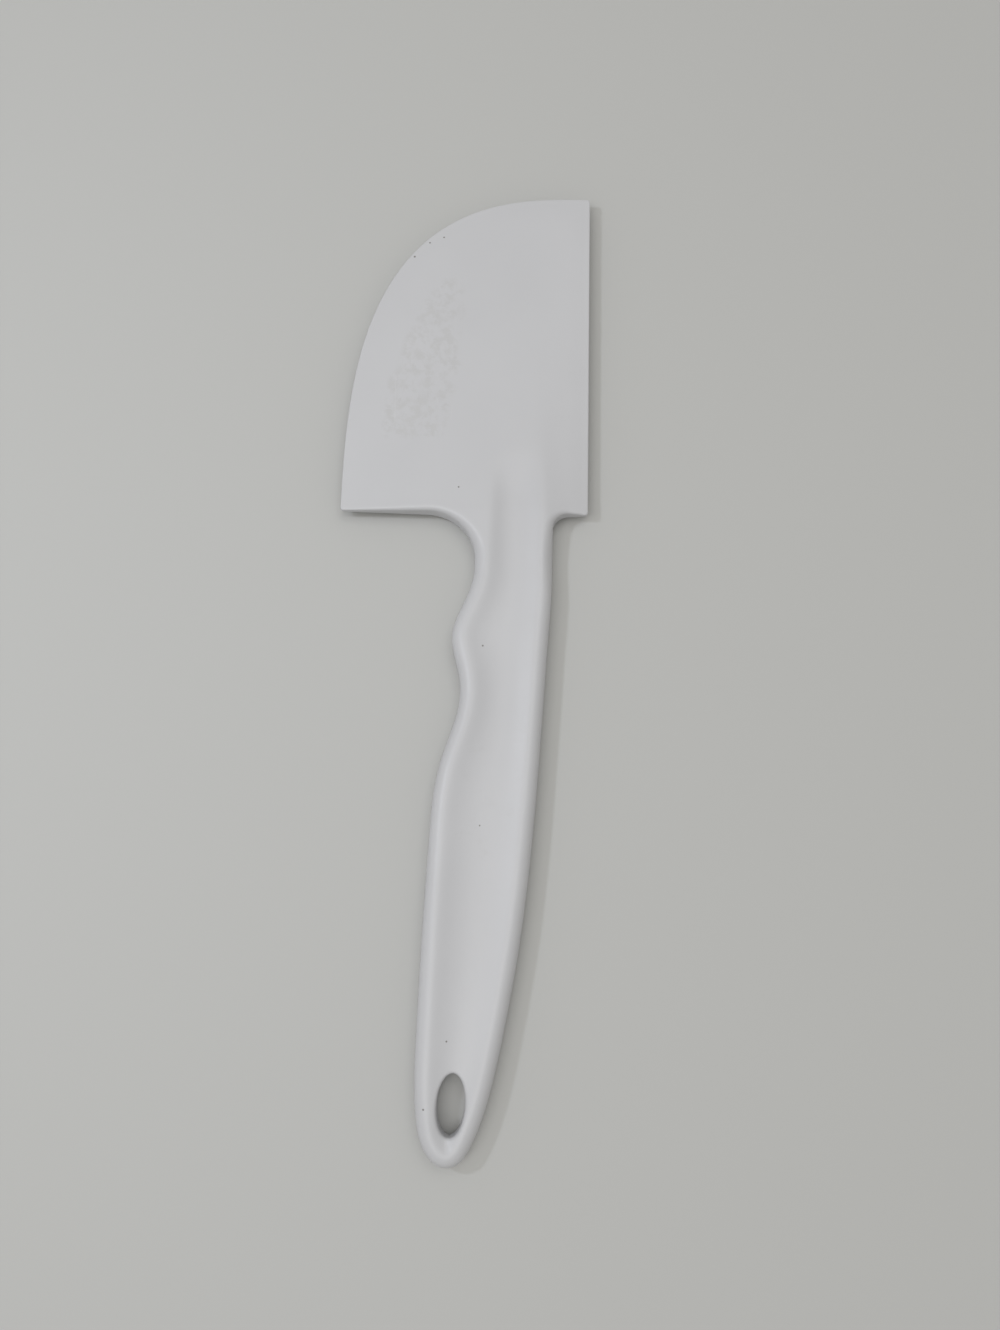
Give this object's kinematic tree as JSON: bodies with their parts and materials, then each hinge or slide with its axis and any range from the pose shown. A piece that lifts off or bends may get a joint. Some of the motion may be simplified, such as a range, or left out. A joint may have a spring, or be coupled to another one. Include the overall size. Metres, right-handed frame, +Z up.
{
  "type": "flexible putty knife",
  "caption": "One-piece plastic putty knife: flexible half-round scraper blade on a dished grip with finger notches and an oval hanging eye.",
  "frame": {"origin": "under the middle of the whole knife, on the surface that it lies on", "axes": "+X to the straight scraping edge, +Y along the knife to the blade's tip, +Z up through the thickness"},
  "size_m": [0.0642, 0.25, 0.008],
  "materials": {
    "white_plastic": "satin white moulded plastic with a soft sheen, faint scuffs and a little ingrained wear along the curved edge"
  },
  "bodies": {
    "handle": {"handle": "white_plastic"},
    "blade": {"blade": "white_plastic"}
  },
  "joints": [
    {"name": "blade_flex", "type": "hinge", "parent": "handle", "child": "blade", "pos_m": [0, 0.052, 0.004], "axis": [1, 0, 0], "range_deg": [-25, 25], "stiffness_Nm_per_rad": 1}
  ]
}
